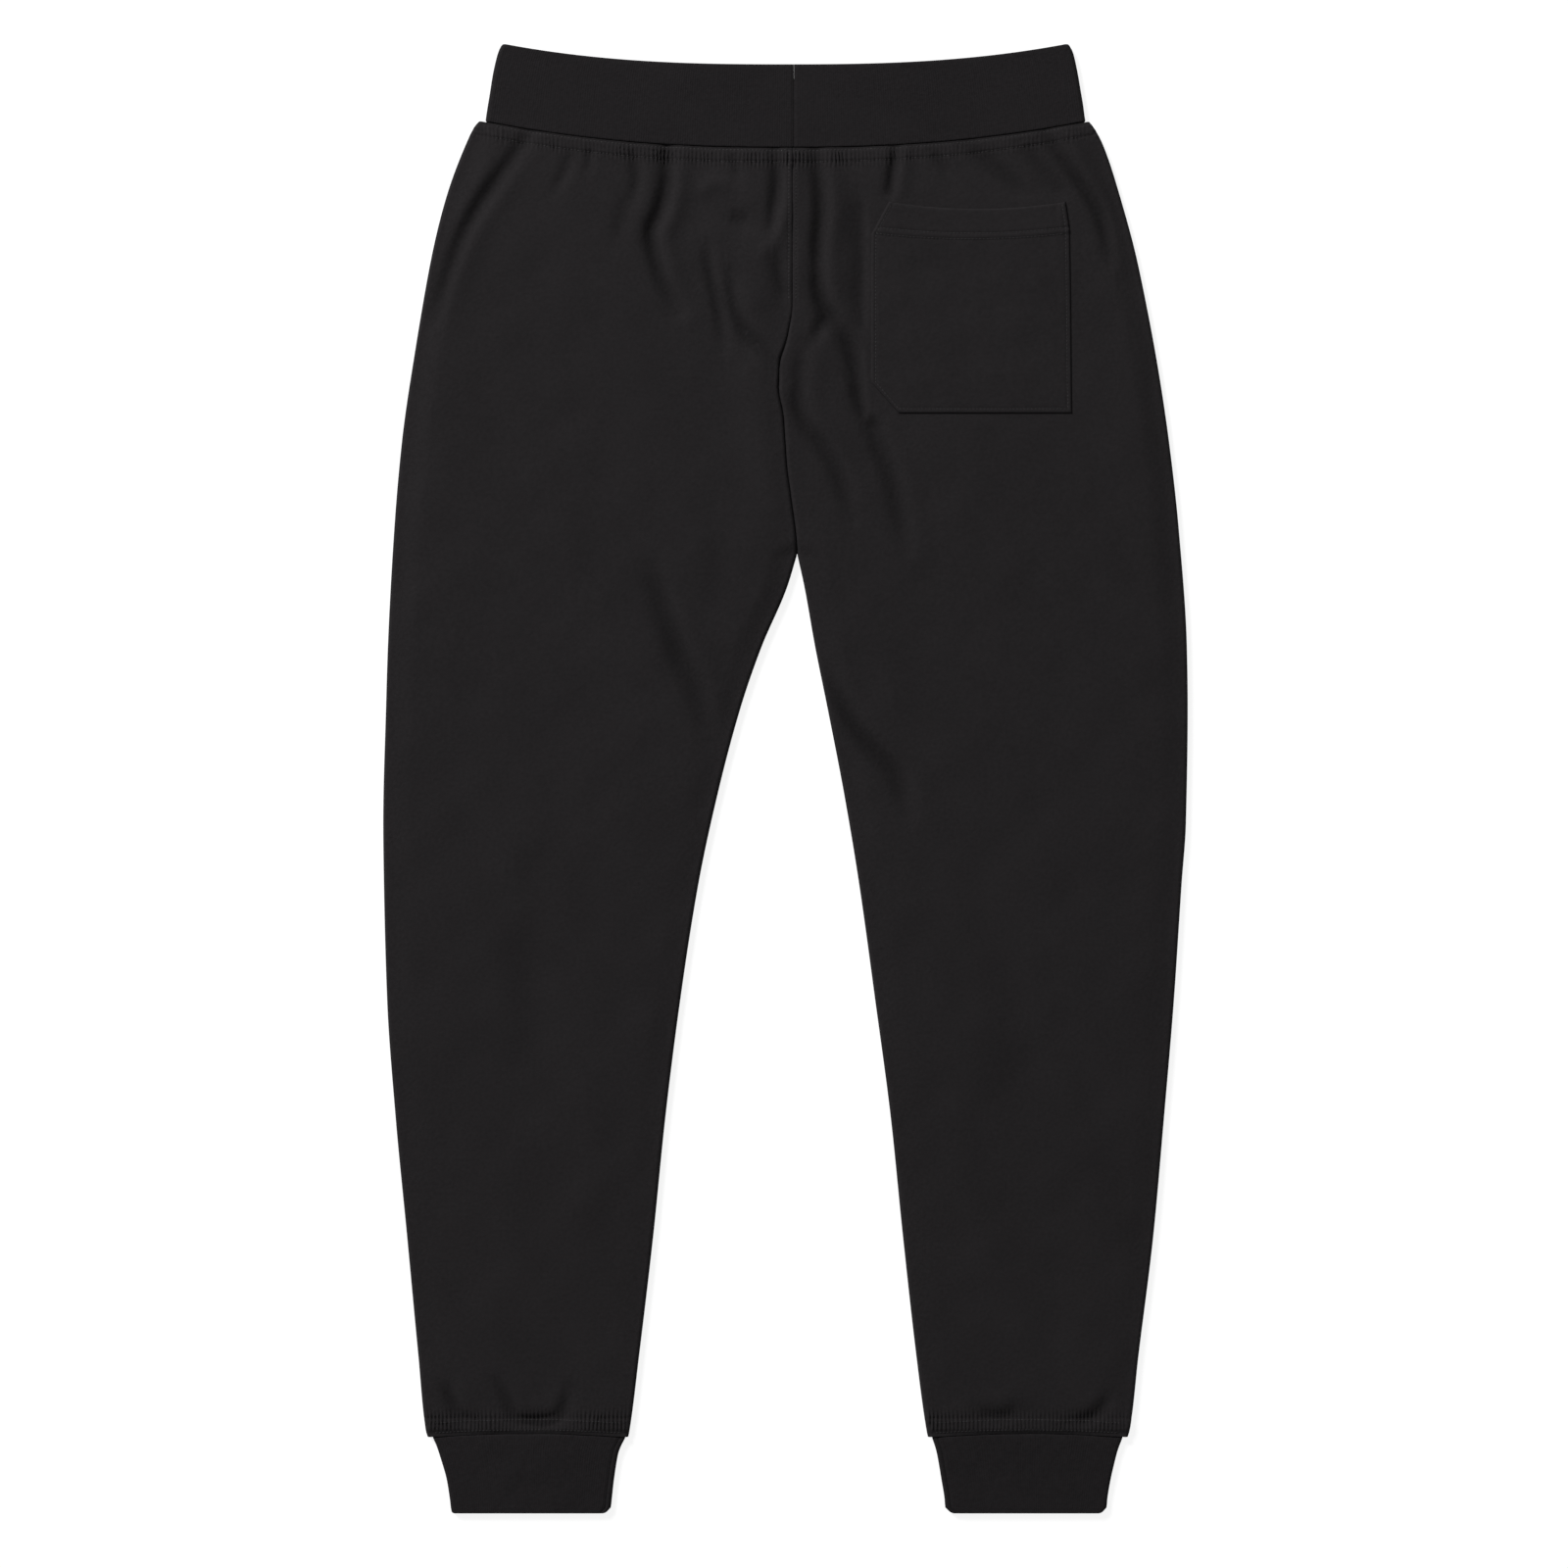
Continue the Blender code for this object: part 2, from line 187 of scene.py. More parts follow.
# name, half-width, rise of the fold (a furrow's is below 0), rise of the ridge on its +X side,
# then its path as (x, height), downwards
FOLDS = (
    ("left hip", 5.5, -2.1, 1.0,
     ((-180, 978), (-191, 962), (-207, 939), (-223, 915), (-236, 886), (-249, 846))),
    ("left hip notch", 4.5, -0.7, 0.4, ((-151, 963), (-155, 951), (-164, 934))),
    ("short notch", 3.5, -0.7, 0.3, ((-138, 966), (-139, 950))),
    ("seat pleat", 4.5, -1.1, 0.6, ((-109, 966), (-105, 945), (-108, 928))),
    ("seat pleat's tail", 7, -0.8, 0.5, ((-111, 936), (-119, 900))),
    ("main", 5.5, -2.3, 2.1,
     ((-84, 976), (-84, 942), (-89, 921), (-95, 906), (-92, 888), (-86, 870), (-76, 850))),
    ("light arc", 6, 1.0, 0, ((-62, 934), (-50, 940), (-38, 938))),
    ("small notch", 3.5, -0.9, 0.4, ((-39, 962), (-34, 950), (-32, 943))),
    ("dent", 6.5, -1.2, 0.5, ((-39, 917), (-25, 912))),
    ("upper seat", 4.5, -1.3, 1.7, ((-57, 896), (-52, 873), (-47, 851), (-43, 826))),
    ("crotch", 5.5, -2.1, 1.0, ((-40, 875), (-36, 851), (-27, 834), (-12, 818), (-1, 803))),
    ("beside the seam", 5, -1.7, 1.6, ((-8, 970), (-6, 942), (-8, 921), (-9, 903))),
    ("light curve", 5, 0.9, 0, ((-1, 926), (-6, 904), (-18, 888))),
    ("seam patch", 5.5, -1.4, 0.6, ((-6, 889), (-3, 870), (1, 858))),
    ("seat bulge", 13, 1.3, 0, ((-30, 905), (-20, 880), (-14, 850))),
    ("leg bulge", 15, 1.5, 0, ((-18, 830), (-20, 806), (-16, 762), (-8, 700))),
    ("right of seam", 5.5, -2.2, 1.7,
     ((20, 974), (22, 957), (25, 923), (23, 898), (23, 876), (25, 858), (31, 846))),
    ("crotch sweep", 6, -2.0, 1.3,
     ((22, 868), (29, 850), (41, 833), (47, 819), (50, 805), (53, 786), (60, 770))),
    ("thigh", 7, -1.6, 1.0, ((52, 790), (61, 773), (67, 753), (77, 724), (85, 684))),
    ("side branch", 5, -1.3, 0.5, ((29, 848), (20, 829))),
    ("beside the pocket", 9, -1.5, 0, ((50, 932), (54, 891), (54, 863), (56, 830))),
    ("under the crotch", 6, -1.7, 1.0, ((12, 826), (9, 790), (14, 770), (27, 753), (39, 731), (47, 704))),
    ("pocket fold", 4, -1.7, 1.2, ((78, 972), (77, 957), (73, 927))),
    ("above the pocket", 4.5, -0.9, 0.4, ((104, 963), (117, 946))),
    ("pocket slant", 6.5, -1.4, 1.1, ((129, 965), (144, 955), (157, 944), (171, 931))),
    ("pocket corner", 7, -1.2, 0.6, ((168, 969), (181, 952), (192, 939), (199, 927))),
    ("right hip", 5, -2.2, 1.7, ((180, 980), (190, 966), (205, 946), (216, 930), (224, 914), (229, 888))),
    ("left knee", 8, -1.8, 1.1, ((-95, 668), (-85, 635), (-74, 604), (-64, 582), (-54, 548))),
    ("left thigh", 12, -0.7, 0.4, ((-48, 692), (-53, 635))),
    ("right knee", 7, -2.0, 1.2, ((28, 592), (50, 555), (66, 536), (79, 520), (86, 498))),
    ("left shin", 16, -0.6, 0.5, ((-190, 430), (-182, 360), (-188, 300))),
    ("right shin", 17, -0.6, 0.5, ((150, 400), (160, 330), (158, 250))),
    ("left calf", 14, 0.5, 0, ((-130, 330), (-136, 250), (-150, 170))),
    ("right calf", 14, 0.5, 0, ((120, 300), (132, 220), (150, 150))),
    ("left hem side", 5, -1.4, 0.8, ((-241, 90), (-236, 80), (-231, 71), (-221, 64))),
    ("left hem cup", 5, -1.5, 0.8,
     ((-203, 92), (-194, 74), (-189, 67), (-176, 65), (-163, 67), (-157, 73), (-153, 88))),
    ("right hem", 5.5, -1.4, 0.7, ((136, 71), (152, 69), (166, 73))),
    ("right hem side", 5, -1.3, 0.7, ((205, 66), (215, 68), (224, 74), (229, 83))),
)
FOLD_REACH = 4.5  # half-widths past which a fold has no effect
FOLD_FADE = 0.45  # exponent by which a fold fades out towards its ends
FURROW_STRENGTH = 1.75
RIDGE_STRENGTH = 0.85
RIDGE_PLACE = 1.9  # a ridge's distance from its furrow, in the furrow's half-widths
RIDGE_WIDTH = 1.25  # a ridge's half-width, in the furrow's
RIPPLE = 0.20  # height of the finer unevenness
SWELL = 0.22  # height of the broader one

# height, left and right ends of a row of the back pocket
POCKET_ENDS = (
    (778, 80.0, 202.5),
    (800, 60.5, 202.2),
    (826, 60.5, 202.0),
    (853, 60.5, 201.8),
    (880, 60.5, 201.4),
    (905, 60.8, 201.0),
    (908, 62.5, 201.0),
    (927.5, 73.0, 198.0),
)
POCKET_CALM = 7.0  # folds fade out this far from the pocket

# Coverstitching: the seam allowance is turned down and held by two needle rows
NEEDLE_NEAR = 1.9
NEEDLE_FAR = 10.0
TWIN_HALF = 2.6  # a needle row's distance from the centre back seam
TWIN_END = 850.0  # height where these rows stop, over the crotch
PUCKER_PITCH = 2.8
HEM_NARROWER = 0.92  # scales distances at the hem


def step(t):
    """A smooth step from 0 at t = 0 to 1 at t = 1."""
    t = np.clip(t, 0, 1)
    return t * t * (3 - 2 * t)


def bell(t):
    """A bell curve, 1 at t = 0."""
    return np.exp(-(t**2))


def smooth_curve(at, table, column):
    """The table's column at these heights, by cubics with no overshoot.

    Each knot's slope is the harmonic mean of the chords on its two sides, or 0 at a turning point.
    """
    knots, values = np.array(table, float)[:, (0, column)].T
    chord = np.diff(values) / np.diff(knots)
    same_way = chord[1:] * chord[:-1] > 0
    total = np.where(same_way, chord[1:] + chord[:-1], 1)
    middle = np.where(same_way, 2 * chord[1:] * chord[:-1] / total, 0)
    slope = np.concatenate([chord[:1], middle, chord[-1:]])
    at = np.clip(at, knots[0], knots[-1])
    k = np.clip(np.searchsorted(knots, at) - 1, 0, len(knots) - 2)
    span = knots[k + 1] - knots[k]
    t = (at - knots[k]) / span
    start = (2 * t**3 - 3 * t**2 + 1) * values[k] + (t**3 - 2 * t**2 + t) * span * slope[k]
    end = (3 * t**2 - 2 * t**3) * values[k + 1] + (t**3 - t**2) * span * slope[k + 1]
    return start + end


def waist_seam(x):
    """Height of the seam under the band on the back: a power curve that rises to the sides."""
    return WAIST_SEAM_LOW + WAIST_SEAM_RISE * np.abs(x / WAIST_HALF) ** WAIST_SEAM_BEND


def front_dip(x):
    """How much lower the waist lies on the front: a parabola, nothing at the sides."""
    return FRONT_DIP * np.clip(1 - (x / BAND_TOP_HALF) ** 2, 0, 1)


def side_edge(side, height):
    return smooth_curve(height, SIDE_EDGES, 1 if side == LEFT else 2)


def inner_edge(side, height, centre_seam):
    """The centre seam, half a gap away, down to the crotch, and the inside leg below it."""
    leg = smooth_curve(height, INNER_EDGES, 1 if side == LEFT else 2)
    seam = smooth_curve(height, centre_seam, 1)
    return np.where(height > CROTCH - 1, seam, leg) + side * SEAM_GAP / 2


def hem_droop(side, x):
    """How far the seam over a cuff droops towards the edges of the leg: a parabola."""
    ends = side_edge(side, HEM), inner_edge(side, HEM, CENTRE_BACK)
    from_middle = np.abs(x - np.mean(ends)) / np.ptp(ends) * 2
    return HEM_DROOP * np.clip(from_middle, 0, 1) ** 2


def rounded_path(path, parts=5):
    """A path through the given points: a Catmull-Rom curve, with this many parts to each stretch."""
    path = np.array(path, float)
    ends = np.concatenate([2 * path[:1] - path[1:2], path, 2 * path[-1:] - path[-2:-1]])
    t = np.linspace(0, 1, parts + 1)[:-1, None]
    a, b, c, d = ends[:-3], ends[1:-2], ends[2:-1], ends[3:]
    curve = [
        (2 * b[i] + (c[i] - a[i]) * t + (2 * a[i] - 5 * b[i] + 4 * c[i] - d[i]) * t**2
         + (3 * b[i] - a[i] - 3 * c[i] + d[i]) * t**3) / 2
        for i in range(len(b))
    ]
    return np.concatenate(curve + [path[-1:]])


def fold_relief(x, height, folds):
    """Sum of the folds.

    Each is a bell across its path, with a wider bell for its ridge on the path's +X side. Both
    fade out towards the path's ends.
    """
    relief = np.zeros_like(x)
    for _, half_width, rise, ridge, path in folds:
        path = rounded_path(path)
        reach = FOLD_REACH * half_width
        low, high = path.min(axis=0) - reach, path.max(axis=0) + reach
        near = (x > low[0]) & (x < high[0]) & (height > low[1]) & (height < high[1])
        if not near.any():
            continue
        px, py = x[near], height[near]
        legs = np.diff(path, axis=0)
        lengths = np.hypot(*legs.T)
        passed = np.concatenate([[0], np.cumsum(lengths)[:-1]])
        nearest = np.full_like(px, np.inf)
        along = np.zeros_like(px)
        right = np.zeros_like(px)
        for start, leg, length, before in zip(path, legs, lengths, passed):
            t = ((px - start[0]) * leg[0] + (py - start[1]) * leg[1]) / length**2
            t = np.clip(t, 0, 1)
            away = np.hypot(px - start[0] - t * leg[0], py - start[1] - t * leg[1])
            closer = away < nearest
            nearest = np.where(closer, away, nearest)
            along = np.where(closer, (before + t * length) / lengths.sum(), along)
            turned = leg[0] * (py - start[1]) - leg[1] * (px - start[0])
            right = np.where(closer, np.sign(turned) * away, right)
        fading = np.sin(np.pi * np.clip(along, 0.02, 0.98)) ** FOLD_FADE
        beside = bell((right - RIDGE_PLACE * half_width) / (RIDGE_WIDTH * half_width))
        across = FURROW_STRENGTH * rise * bell(nearest / half_width) + RIDGE_STRENGTH * ridge * beside
        relief[near] += fading * across
    return relief


def undulation(x, y, seed, shortest, longest, count=14):
    """Soft unevenness of about ±1: a sum of seeded sine waves between these two wavelengths."""
    draw = np.random.default_rng(seed)
    total = np.zeros_like(x)
    for _ in range(count):
        wave = shortest * (longest / shortest) ** draw.random()
        turn, phase = draw.random(2) * 2 * np.pi
        total += np.sin(2 * np.pi * (x * np.cos(turn) + y * np.sin(turn)) / wave + phase)
    return total / np.sqrt(count)


def pocket_nearness(x, height):
    """1 on the pocket, falling to 0 at POCKET_CALM outside its box."""
    heights, lefts, rights = np.array(POCKET_ENDS).T
    out_x = np.maximum(lefts.min() - x, x - rights.max())
    out_y = np.maximum(heights.min() - height, height - heights.max())
    return 1 - step(np.maximum(np.maximum(out_x, out_y), 0) / POCKET_CALM)


def coverstitch(away, along, seed):
    """Relief of a seam's edge at this distance from it: the cloth dips into the seam.

    The turned allowance lifts it a little as far as the outer needle row, each row pinches it
    down, and between the rows it puckers, in waves of uneven strength.
    """
    dip = -0.9 * bell(away / 1.3)
    lift = 0.35 * step(away / 3) * (1 - step((away - NEEDLE_FAR + 1) / 2.5))
    pinch = -0.42 * (bell((away - NEEDLE_NEAR) / 0.9) + bell((away - NEEDLE_FAR) / 0.9))
    between = step((away - 1) / 3) * (1 - step((away - NEEDLE_FAR - 2) / 4))
    strength = 0.46 + 0.14 * undulation(along, 0 * along, seed, 20, 90)
    drift = 0.9 * undulation(along, 0.5 * away, seed + 1, 9, 30)
    return dip + lift + pinch + between * strength * np.sin(2 * np.pi * along / PUCKER_PITCH + drift)


def back_top(x, height):
    """Height of the back's outer face over the floor, at a point away from the rolled edges.

    It runs from the edges' thickness to the BACK_TOP of that height, and the folds and a soft
    unevenness come on top. They fade out at the legs' edges and at the pocket, and the back
    never sinks into the front.
    """
    side = np.where(x > smooth_curve(height, CENTRE_BACK, 1), RIGHT, LEFT)
    inside = np.full_like(x, np.inf)
    for leg in (LEFT, RIGHT):
        from_side = np.abs(x - side_edge(leg, height))
        from_inner = np.abs(x - inner_edge(leg, height, CENTRE_BACK))
        from_inner = from_inner + 2 * np.clip(height - CROTCH, 0, EDGE_RISE)
        inside = np.where(side == leg, np.minimum(from_side, from_inner), inside)
    inside = step((inside - EDGE_THICKNESS / 2) / EDGE_RISE)
    plain = EDGE_THICKNESS + (smooth_curve(height, BACK_TOP, 1) - EDGE_THICKNESS) * inside
    calm = (1 - pocket_nearness(x, height)) * inside**0.5
    relief = fold_relief(x, height, FOLDS) + RIPPLE * undulation(x, height, 5, 22, 60)
    relief = relief + SWELL * undulation(x, 0.5 * height, 6, 60, 150)
    return np.maximum(plain + calm * relief, LEAST_BACK_TOP)


def back_surface(x, height):
    """The back's outer face with its stitched edges, at the waist, the hem and the centre seam."""
    seam = coverstitch(waist_seam(x) - height, x, 11)
    hem = coverstitch((height - HEM) * HEM_NARROWER, x, 21)
    from_centre = np.abs(x - smooth_curve(height, CENTRE_BACK, 1))
    twin = -0.35 * bell((from_centre - TWIN_HALF) / 0.8) * step((height - TWIN_END) / 12)
    return back_top(x, height) + seam + hem + twin


WALE_PITCH = 0.0009
COURSE_PITCH = 0.0007


def fleece_finish(name, colour):
    """Brushed cotton fleece, near black: the fine V rows of its knit, fuzz and soft mottling.

    The knit's relief is a product of sines of the UV, which is in metres, and the fuzz is noise.
    """
    made = bpy.data.materials.new(name)
    made.use_nodes = True
    nodes, links = made.node_tree.nodes, made.node_tree.links
    shader = nodes["Principled BSDF"]
    shader.inputs["Roughness"].default_value = 0.92
    shader.inputs["Specular IOR Level"].default_value = 0.03
    shader.inputs["Sheen Weight"].default_value = 0.01
    shader.inputs["Sheen Roughness"].default_value = 0.6
    place = nodes.new("ShaderNodeTexCoord")

    def maths(operation, *values):
        node = nodes.new("ShaderNodeMath")
        node.operation = operation
        for socket, value in zip(node.inputs, values):
            if isinstance(value, (int, float)):
                socket.default_value = value
            else:
                links.new(value, socket)
        return node.outputs[0]

    def noise(coordinates, scale, detail):
        node = nodes.new("ShaderNodeTexNoise")
        node.inputs["Scale"].default_value = scale
        node.inputs["Detail"].default_value = detail
        links.new(coordinates, node.inputs["Vector"])
        return node.outputs["Fac"]

    split = nodes.new("ShaderNodeSeparateXYZ")
    links.new(place.outputs["UV"], split.inputs[0])
    wale = maths("MULTIPLY", split.outputs["X"], 2 * np.pi / WALE_PITCH)
    course = maths("MULTIPLY", split.outputs["Y"], 2 * np.pi / COURSE_PITCH)
    lean = maths("MULTIPLY", maths("SINE", wale), 1.5)
    loops = maths("MULTIPLY", maths("SINE", maths("ADD", course, lean)), maths("SINE", wale))
    fuzz = noise(place.outputs["Object"], 1400, 4)
    grain = noise(place.outputs["Object"], 420, 3)
    broad = noise(place.outputs["Object"], 16, 3)

    # Colour: grain, broad mottling, worn nap and painted shade scale the cloth's own colour; the point
    # attribute below makes the nap paler where worn and paints it darker as shade in the furrows and
    # beside the seams
    wear_and_shade = nodes.new("ShaderNodeAttribute")
    wear_and_shade.attribute_name = "wear_and_shade"
    tone = maths("ADD", maths("MULTIPLY", grain, 0.55), maths("MULTIPLY", broad, 0.22))
    tone = maths("ADD", tone, maths("MULTIPLY", loops, 0.07))
    tone = maths("ADD", maths("ADD", tone, 0.615), maths("MULTIPLY", wear_and_shade.outputs["Fac"], 0.12))
    mix = nodes.new("ShaderNodeVectorMath")
    mix.operation = "SCALE"
    mix.inputs[0].default_value = colour
    links.new(tone, mix.inputs["Scale"])
    links.new(mix.outputs[0], shader.inputs["Base Color"])

    height = maths("ADD", maths("MULTIPLY", loops, 0.00005), maths("MULTIPLY", fuzz, 0.00028))
    height = maths("ADD", height, maths("MULTIPLY", grain, 0.00045))
    bump = nodes.new("ShaderNodeBump")
    bump.inputs["Strength"].default_value = 0.7
    bump.inputs["Distance"].default_value = 1.0
    links.new(height, bump.inputs["Height"])
    links.new(bump.outputs[0], shader.inputs["Normal"])
    return made


def add_cloth(name, outer, inner, uv, wear_and_shade, finish, stride):
    """A closed cloth wall between a fine outer grid and a coarser inner one.

    The inner grid holds every stride-th row and column of the outer one's size. Along the rim each
    coarse step is one face that also takes the fine points beside it.
    """
    rows, columns = outer.shape[:2]
    coarse = inner[:: stride[0], :: stride[1]]
    index = np.arange(rows * columns).reshape(rows, columns)
    low = np.arange(coarse.shape[0] * coarse.shape[1]).reshape(coarse.shape[:2]) + rows * columns
    points = np.concatenate([outer.reshape(-1, 3), coarse.reshape(-1, 3)])
    coordinates = np.concatenate([uv.reshape(-1, 2), uv[:: stride[0], :: stride[1]].reshape(-1, 2)])
    # Per-point wear and painted shade for the cloth's colour; the coarse inner points get none
    wear_and_shade_data = np.concatenate([wear_and_shade.ravel(), np.zeros(low.size)])

    def quads(grid):
        return np.stack([grid[:-1, :-1], grid[1:, :-1], grid[1:, 1:], grid[:-1, 1:]], -1).reshape(-1, 4)

    faces = quads(index).tolist() + quads(low)[:, ::-1].tolist()
    edges = (
        (index[0], low[0], stride[1]),
        (index[:, -1], low[:, -1], stride[0]),
        (index[-1, ::-1], low[-1, ::-1], stride[1]),
        (index[::-1, 0], low[::-1, 0], stride[0]),
    )
    for fine, few, every in edges:
        for k in range(len(few) - 1):
            beside = fine[k * every : (k + 1) * every + 1].tolist()
            faces.append(beside + [int(few[k + 1]), int(few[k])])

    # Turned round as a whole if the outer grid's first faces point into the wall
    middle = rows // 2 // stride[0] * stride[0], columns // 2 // stride[1] * stride[1]
    here, down, across = outer[middle], outer[middle[0] + 1, middle[1]], outer[middle[0], middle[1] + 1]
    if np.dot(np.cross(down - here, across - here), here - inner[middle]) < 0:
        faces = [face[::-1] for face in faces]

    mesh = bpy.data.meshes.new(name)
    mesh.from_pydata(((points - (0, LENGTH / 2, 0)) * MM).tolist(), [], faces)
    mesh.shade_smooth()
    mesh.set_sharp_from_angle(angle=np.radians(70))
    corner = np.empty(len(mesh.loops), np.int32)
    mesh.loops.foreach_get("vertex_index", corner)
    layer = mesh.uv_layers.new(name="UVMap")
    layer.data.foreach_set("uv", (coordinates[corner] * MM).astype(np.float32).ravel())
    # The point attribute of wear and painted shade that the cloth's colour reads
    attribute = mesh.attributes.new("wear_and_shade", "FLOAT", "POINT")
    attribute.data.foreach_set("value", wear_and_shade_data.astype(np.float32))
    mesh.materials.append(finish)
    made = bpy.data.objects.new(name, mesh)
    bpy.context.scene.collection.objects.link(made)
    return made


STITCHED = 15.0  # the rows of points are closer together this far from a stitched edge
COLUMN_CROWDING = 1.1  # above 1, the columns are closer together towards the centre


def panel_points(side, is_back, depth, counts):
    """One leg panel's face, as (rows, columns, 3), at this depth into its wall, and its UV.

    Rows run across the leg, and follow the waist's curve at the top and the hem's at the foot.
    Columns run down it: an arc that turns over the side edge, the flat of the leg, then an arc
    that turns into the centre seam or over the inside leg. A front is the same with its flat on
    the floor and turned up at its edges.
    """
    waist_rows, leg_rows, hem_rows, flat_columns, side_turns, inner_turns = counts
    centre_seam = CENTRE_BACK if is_back else CENTRE_FRONT
    top, foot = WAIST_SEAM_LOW - GAP / 2, HEM + GAP / 2
    level = np.concatenate([
        np.linspace(top, top - STITCHED, waist_rows + 1),
        np.linspace(top - STITCHED, foot + STITCHED, leg_rows + 1)[1:],
        np.linspace(foot + STITCHED, foot, hem_rows + 1)[1:],
    ])

    def row_height(x, level):
        from_waist = step(1 - (WAIST_SEAM_LOW - level) / WAIST_BLEND)
        lift = waist_seam(x) - WAIST_SEAM_LOW - (0 if is_back else front_dip(x))
        return level + from_waist * lift

    radius = (EDGE_THICKNESS - GAP) / 2
    outer_end = side_edge(side, row_height(side * WAIST_HALF, level)) - side * radius
    turn = np.radians(smooth_curve(level, centre_seam, 2))
    inner_end = inner_edge(side, level, centre_seam) + side * radius * np.sin(turn)

    across = 1 - (1 - np.linspace(0, 1, flat_columns + 1)) ** COLUMN_CROWDING
    across = np.concatenate([np.zeros(side_turns), across, np.ones(inner_turns)])
    flat_x = outer_end[:, None] + (inner_end - outer_end)[:, None] * across
    angle = np.zeros_like(flat_x)
    angle[:, : side_turns + 1] = np.linspace(np.pi / 2, 0, side_turns + 1)
    angle[:, -inner_turns - 1 :] = -np.linspace(0, 1, inner_turns + 1) * turn[:, None]

    x = flat_x + side * (radius - depth) * np.sin(angle)
    at_hem = np.clip((level - CROTCH) / (HEM - CROTCH), 0, 1)[:, None] ** HEM_FADE
    y = row_height(x, level[:, None]) - at_hem * hem_droop(side, x)
    curl = (radius - depth) * np.cos(angle)
    if is_back:
        surface = back_surface(flat_x, y) if depth == 0 else back_top(flat_x, y)
        z = surface - radius + curl
    else:
        pressed = (1 - depth / PANEL_WALL) * np.cos(angle) * front_troughs(flat_x, y)
        z = radius - curl + pressed
    uv = np.stack([flat_x + side * radius * angle, y], axis=-1)
    return np.stack([x, y, z], axis=-1), uv


def panel_wear_and_shade(points, folds):
    """Where the nap is worn paler, above 0, and where shade is painted darker, below 0.

    It is worn along the leg's edges and on the seams' outer needle band, and painted darker as
    shade in the furrows and right beside a seam.
    """
    x, y = points[:, :, 0], points[:, :, 1]
    from_ends = np.minimum(np.abs(x - x[:, :1]), np.abs(x - x[:, -1:]))
    edge = bell((from_ends - 3) / 3)
    from_seams = np.minimum(y[:1] - y, y - y[-1:])
    band = bell((from_seams - 5.5) / 3.0)
    # Painted shade: the furrows are darkened by their depth, away from the pocket, and a thin line right
    # beside each seam is darkened too
    painted_furrow_shade = FURROW_SHADE * np.clip(-fold_relief(x, y, folds), 0, 4) * (1 - pocket_nearness(x, y))
    return WORN * (edge + band) - painted_furrow_shade - SEAM_SHADE * bell(from_seams / 1.6)


# Painted shade: how much darker the colour is drawn in the furrows and in the line beside the seams
FURROW_SHADE = 0.75  # for each millimetre of a furrow's depth
SEAM_SHADE = 2.5
WORN = 0.3
# rows by the waist, down the leg and by the hem, then columns on the flat and round both edges
BACK_COUNTS = (21, 285, 18, 230, 12, 8)
fleece_cloth = fleece_finish("near-black fleece", (0.0122, 0.0111, 0.0117))
for side, hand in ((LEFT, "left"), (RIGHT, "right")):
    node = f"back_panel_{hand}"
    outer, uv = panel_points(side, True, 0, BACK_COUNTS)
    inner, _ = panel_points(side, True, PANEL_WALL, BACK_COUNTS)
    panel = add_cloth(f"{node}_cloth", outer, inner, uv, panel_wear_and_shade(outer, FOLDS), fleece_cloth, (3, 5))
    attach(panel, "root")
    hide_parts(node)


# ---- Front leg panels
# The fronts are cut like the backs, a little lower at the waist, and lie face down on the floor.
# The weight above presses them flat, so that only shallow troughs are left of their creases.
CENTRE_FRONT = (
    (655, 8.3, 90),
    (CROTCH, 8.3, 50),
    (705, 7.5, 0),
    (967, 5.0, 0),
)

# name, half-width, height of the trough over the floor, its ridge's, then its path as (x, height)
FRONT_CREASES = (
    ("left hip", 7, 0.8, 0, ((-150, 950), (-180, 900), (-215, 850))),
    ("left lap", 8, 0.9, 0, ((-60, 930), (-92, 880), (-120, 820))),
    ("left crotch", 7, 0.9, 0, ((0, 720), (-40, 760), (-90, 790))),
    ("left knee", 10, 0.8, 0, ((-80, 560), (-140, 520), (-220, 505))),
    ("left shin", 9, 0.6, 0, ((-120, 300), (-170, 260), (-240, 250))),
    ("right hip", 7, 0.8, 0, ((150, 955), (185, 900), (214, 840))),
    ("right lap", 8, 0.9, 0, ((70, 925), (96, 870), (118, 830))),
    ("right crotch", 7, 0.9, 0, ((16, 715), (54, 752), (100, 776))),
    ("right knee", 10, 0.8, 0, ((70, 580), (130, 530), (210, 520))),
    ("right shin", 9, 0.6, 0, ((100, 280), (160, 240), (220, 244))),
)


def front_troughs(x, height):
    """How far the front's face stands off the floor: its creases, and pinched stitch rows."""
    creases = fold_relief(x, height, FRONT_CREASES)
    for away in (waist_seam(x) - front_dip(x) - height, height - HEM):
        creases = creases + 0.3 * (bell((away - NEEDLE_NEAR) / 0.9) + bell((away - NEEDLE_FAR) / 0.9))
        creases = creases + 0.8 * bell(away / 1.5)
    return np.clip(creases + 0.10 * undulation(x, height, 31, 30, 90), 0, 1.2)



# The overlocked seam allowance of the centre seam lies flat between the back and the front
ALLOWANCE_HALF = 3.5
ALLOWANCE_LOW = 2.05
ALLOWANCE_HIGH = 2.35
levels = np.linspace(WAIST_SEAM_LOW - FRONT_DIP, CROTCH, 91)[:, None]
across = np.linspace(-ALLOWANCE_HALF, ALLOWANCE_HALF, 5)[None, :]
levels, across = np.broadcast_arrays(levels, across)
x = smooth_curve(levels, CENTRE_BACK, 1) + across
low_face = np.stack([x, levels, 0 * x + ALLOWANCE_LOW], axis=-1)
high_face = np.stack([x, levels, 0 * x + ALLOWANCE_HIGH], axis=-1)
allowance = add_cloth(
    "seam_allowance", high_face, low_face, high_face[:, :, :2], 0 * x, fleece_cloth, (1, 1)
)
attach(allowance, "root")

